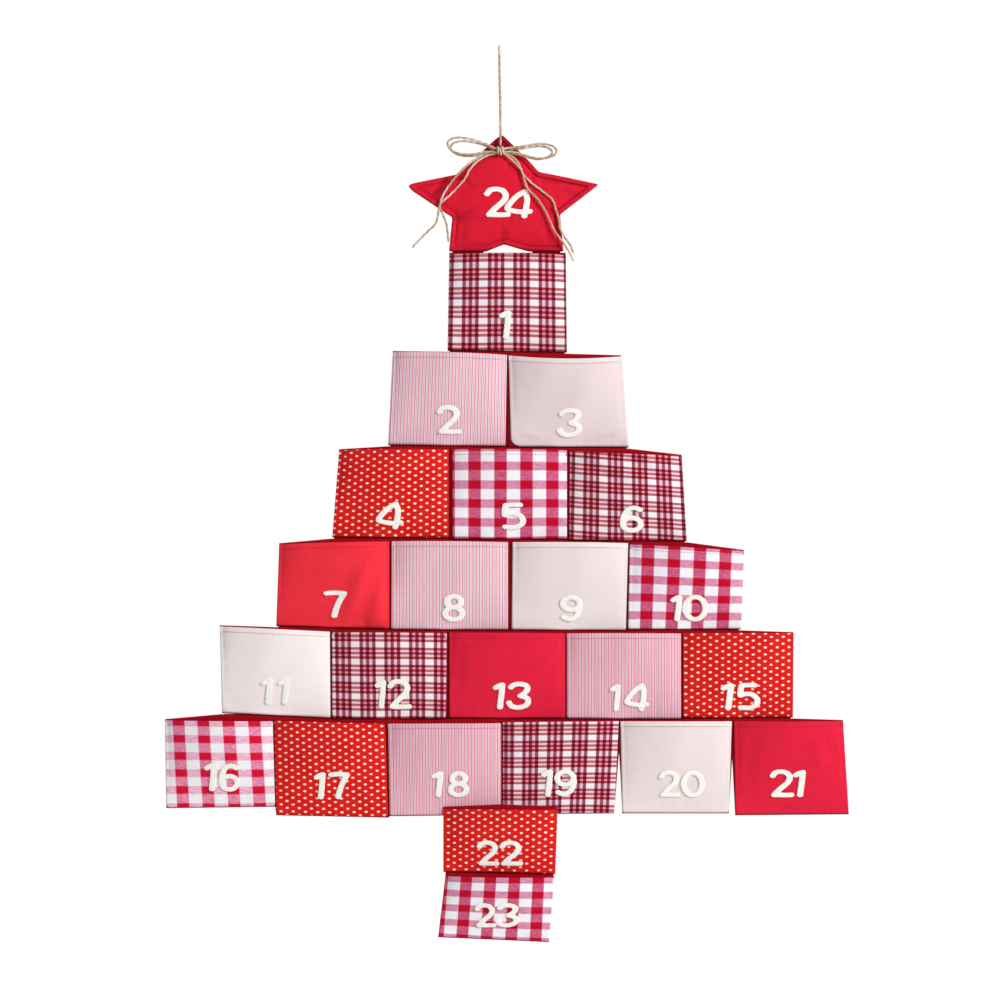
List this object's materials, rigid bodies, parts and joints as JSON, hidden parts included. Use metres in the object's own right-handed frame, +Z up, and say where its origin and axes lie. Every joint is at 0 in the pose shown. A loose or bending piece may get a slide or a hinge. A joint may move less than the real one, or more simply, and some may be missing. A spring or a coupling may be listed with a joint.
{
  "type": "fabric advent calendar",
  "caption": "Hanging cloth advent calendar: rows of sewn, numbered pockets form a fir tree below a padded star with a twine bow and hanging loop.",
  "frame": {"origin": "the point where the inner top of the twine loop bears on its hook", "axes": "+Z up, +X to the viewer's right, the pockets face -Y and the flat wall side faces +Y"},
  "size_m": [0.6838, 0.0231, 0.8967],
  "materials": {
    "plaid": "wine, pink and white plaid cotton",
    "stripe": "fine pink and white striped cotton",
    "linen": "plain greyish pink linen",
    "dots": "orange-red cotton with small white dots",
    "gingham": "raspberry and white gingham cotton",
    "red": "solid bright red cotton",
    "lining": "dark red cotton",
    "felt": "soft off-white wool felt",
    "twine": "natural hairy jute twine"
  },
  "bodies": {
    "hanger": {"hanger_twine": "twine", "hanger_knot": "twine"},
    "star": {"star_front": "red", "star_back": "lining", "number_24": "felt", "bow": "twine"},
    "row_1": {"row_1_backing": "lining", "pocket_01_front": "plaid", "number_01": "felt"},
    "row_2": {"row_2_backing": "lining", "pocket_02_front": "stripe", "number_02": "felt", "pocket_03_front": "linen", "number_03": "felt"},
    "row_3": {"row_3_backing": "lining", "pocket_04_front": "dots", "number_04": "felt", "pocket_05_front": "gingham", "number_05": "felt", "pocket_06_front": "plaid", "number_06": "felt"},
    "row_4": {"row_4_backing": "lining", "pocket_07_front": "red", "number_07": "felt", "pocket_08_front": "stripe", "number_08": "felt", "pocket_09_front": "linen", "number_09": "felt", "pocket_10_front": "gingham", "number_10": "felt"},
    "row_5": {"row_5_backing": "lining", "pocket_11_front": "linen", "number_11": "felt", "pocket_12_front": "plaid", "number_12": "felt", "pocket_13_front": "red", "number_13": "felt", "pocket_14_front": "stripe", "number_14": "felt", "pocket_15_front": "dots", "number_15": "felt"},
    "row_6": {"row_6_backing": "lining", "pocket_16_front": "gingham", "number_16": "felt", "pocket_17_front": "dots", "number_17": "felt", "pocket_18_front": "stripe", "number_18": "felt", "pocket_19_front": "plaid", "number_19": "felt", "pocket_20_front": "linen", "number_20": "felt", "pocket_21_front": "red", "number_21": "felt"},
    "trunk_22": {"trunk_22_backing": "lining", "pocket_22_front": "dots", "number_22": "felt"},
    "trunk_23": {"trunk_23_backing": "lining", "pocket_23_front": "gingham", "number_23": "felt"}
  },
  "joints": [
    {"name": "star_swing", "type": "hinge", "parent": "hanger", "child": "star", "pos_m": [0.0011, 0, -0.0986], "axis": [0, 1, 0], "range_deg": [-30, 30]},
    {"name": "row_1_fold", "type": "hinge", "parent": "star", "child": "row_1", "pos_m": [0.0081, 0.0015, -0.20475], "axis": [1, 0, 0], "range_deg": [-62, 135]},
    {"name": "row_2_fold", "type": "hinge", "parent": "row_1", "child": "row_2", "pos_m": [0.0081, 0.0015, -0.30475], "axis": [-1, 0, 0], "range_deg": [-135, 62]},
    {"name": "row_3_fold", "type": "hinge", "parent": "row_2", "child": "row_3", "pos_m": [0.0081, 0.0015, -0.39975], "axis": [1, 0, 0], "range_deg": [-62, 135]},
    {"name": "row_4_fold", "type": "hinge", "parent": "row_3", "child": "row_4", "pos_m": [0.0081, 0.0015, -0.49255], "axis": [-1, 0, 0], "range_deg": [-135, 62]},
    {"name": "row_5_fold", "type": "hinge", "parent": "row_4", "child": "row_5", "pos_m": [0.0081, 0.0015, -0.58295], "axis": [1, 0, 0], "range_deg": [-62, 135]},
    {"name": "row_6_fold", "type": "hinge", "parent": "row_5", "child": "row_6", "pos_m": [0.0081, 0.0015, -0.67155], "axis": [-1, 0, 0], "range_deg": [-135, 62]},
    {"name": "trunk_22_fold", "type": "hinge", "parent": "row_6", "child": "trunk_22", "pos_m": [0.0081, -0.0018, -0.7566], "axis": [-1, 0, 0], "range_deg": [0, 75]},
    {"name": "trunk_23_fold", "type": "hinge", "parent": "trunk_22", "child": "trunk_23", "pos_m": [0.0081, -0.0018, -0.82565], "axis": [1, 0, 0], "range_deg": [-60, 135]}
  ]
}
